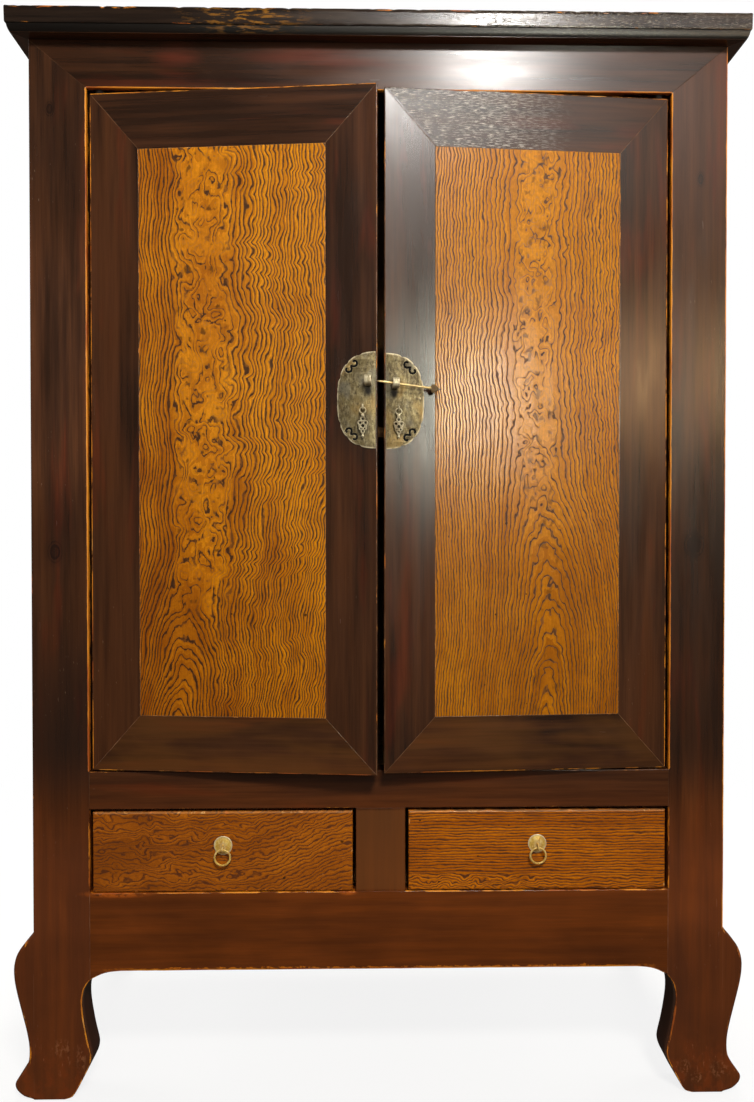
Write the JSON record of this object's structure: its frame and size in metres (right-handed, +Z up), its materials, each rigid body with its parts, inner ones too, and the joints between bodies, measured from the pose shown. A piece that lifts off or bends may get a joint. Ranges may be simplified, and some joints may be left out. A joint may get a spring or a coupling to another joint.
{
  "type": "wedding cabinet",
  "caption": "Tall lacquered cabinet on curved legs, with figured-wood doors on wooden pivots, a brass pin lock and ring-pull drawers.",
  "frame": {"origin": "on the floor, at the middle of the width and of the whole depth with the doors as they stand, a little ajar", "axes": "+Z up, front towards -Y, +X to the right seen from the front"},
  "size_m": [1.2592, 0.6278, 1.848],
  "materials": {
    "lacquer": "dark brown lacquer, semi-gloss, worn to orange on the edges",
    "burl": "figured golden wood under clear lacquer",
    "plain_wood": "unfinished old softwood",
    "brass": "aged yellow brass"
  },
  "bodies": {
    "carcass": {"top_front": "lacquer", "top_back": "lacquer", "top_left": "lacquer", "top_right": "lacquer", "top_panel": "lacquer", "top_battens": "plain_wood", "front_left_post": "lacquer", "front_right_post": "lacquer", "back_left_post": "lacquer", "back_right_post": "lacquer", "upper_rail": "lacquer", "middle_rail": "lacquer", "drawer_divider": "lacquer", "apron": "lacquer", "back_rails": "lacquer", "left_side_rails": "lacquer", "right_side_rails": "lacquer", "left_side_panels": "lacquer", "right_side_panels": "lacquer", "back_panels": "plain_wood", "cupboard_floor": "plain_wood", "floor_bearers": "plain_wood", "shelf": "plain_wood", "shelf_bearers": "plain_wood", "drawer_runners": "plain_wood", "drawer_guides": "plain_wood"},
    "door_left": {"left_door_hinge_stile": "lacquer", "left_door_meeting_stile": "lacquer", "left_door_top_rail": "lacquer", "left_door_bottom_rail": "lacquer", "left_door_panel": "burl", "left_door_battens": "plain_wood", "left_lock_plate": "brass", "left_lock_staples": "brass"},
    "pull_left": {"left_pull": "brass"},
    "door_right": {"right_door_hinge_stile": "lacquer", "right_door_meeting_stile": "lacquer", "right_door_top_rail": "lacquer", "right_door_bottom_rail": "lacquer", "right_door_panel": "burl", "right_door_battens": "plain_wood", "right_lock_plate": "brass", "right_lock_staples": "brass"},
    "pull_right": {"right_pull": "brass"},
    "lock_pin": {"lock_pin": "brass"},
    "drawer_left": {"left_drawer_front": "burl", "left_drawer_sides": "plain_wood", "left_drawer_back": "plain_wood", "left_drawer_bottom": "plain_wood", "left_drawer_rosette": "brass", "left_drawer_staple": "brass"},
    "ring_left": {"left_drawer_ring": "brass"},
    "drawer_right": {"right_drawer_front": "burl", "right_drawer_sides": "plain_wood", "right_drawer_back": "plain_wood", "right_drawer_bottom": "plain_wood", "right_drawer_rosette": "brass", "right_drawer_staple": "brass"},
    "ring_right": {"right_drawer_ring": "brass"}
  },
  "joints": [
    {"name": "door_left", "type": "hinge", "parent": "carcass", "child": "door_left", "pos_m": [-0.4789, -0.22914, 1.142], "axis": [0, 0, -1], "range_deg": [-5.6, 100]},
    {"name": "door_right", "type": "hinge", "parent": "carcass", "child": "door_right", "pos_m": [0.4789, -0.22914, 1.142], "axis": [0, 0, 1], "range_deg": [-4, 100]},
    {"name": "lock_pin", "type": "slide", "parent": "door_right", "child": "lock_pin", "axis": [0.9872, 0.1125, -0.1132], "range_m": [-0.05, 0.04]},
    {"name": "pull_left", "type": "hinge", "parent": "door_left", "child": "pull_left", "pos_m": [-0.03096, -0.29266, 1.1811], "axis": [-0.9952, 0.0976, 0], "range_deg": [0, 80]},
    {"name": "pull_right", "type": "hinge", "parent": "door_right", "child": "pull_right", "pos_m": [0.02936, -0.28013, 1.1811], "axis": [-0.9976, -0.0698, 0], "range_deg": [0, 80]},
    {"name": "drawer_left", "type": "slide", "parent": "carcass", "child": "drawer_left", "axis": [0, -1, 0], "range_m": [0, 0.36]},
    {"name": "drawer_right", "type": "slide", "parent": "carcass", "child": "drawer_right", "axis": [0, -1, 0], "range_m": [0, 0.36]},
    {"name": "ring_left", "type": "hinge", "parent": "drawer_left", "child": "ring_left", "pos_m": [-0.2705, -0.25164, 0.43235], "axis": [-1, 0, 0], "range_deg": [0, 90]},
    {"name": "ring_right", "type": "hinge", "parent": "drawer_right", "child": "ring_right", "pos_m": [0.2705, -0.25164, 0.43235], "axis": [-1, 0, 0], "range_deg": [0, 90]}
  ]
}
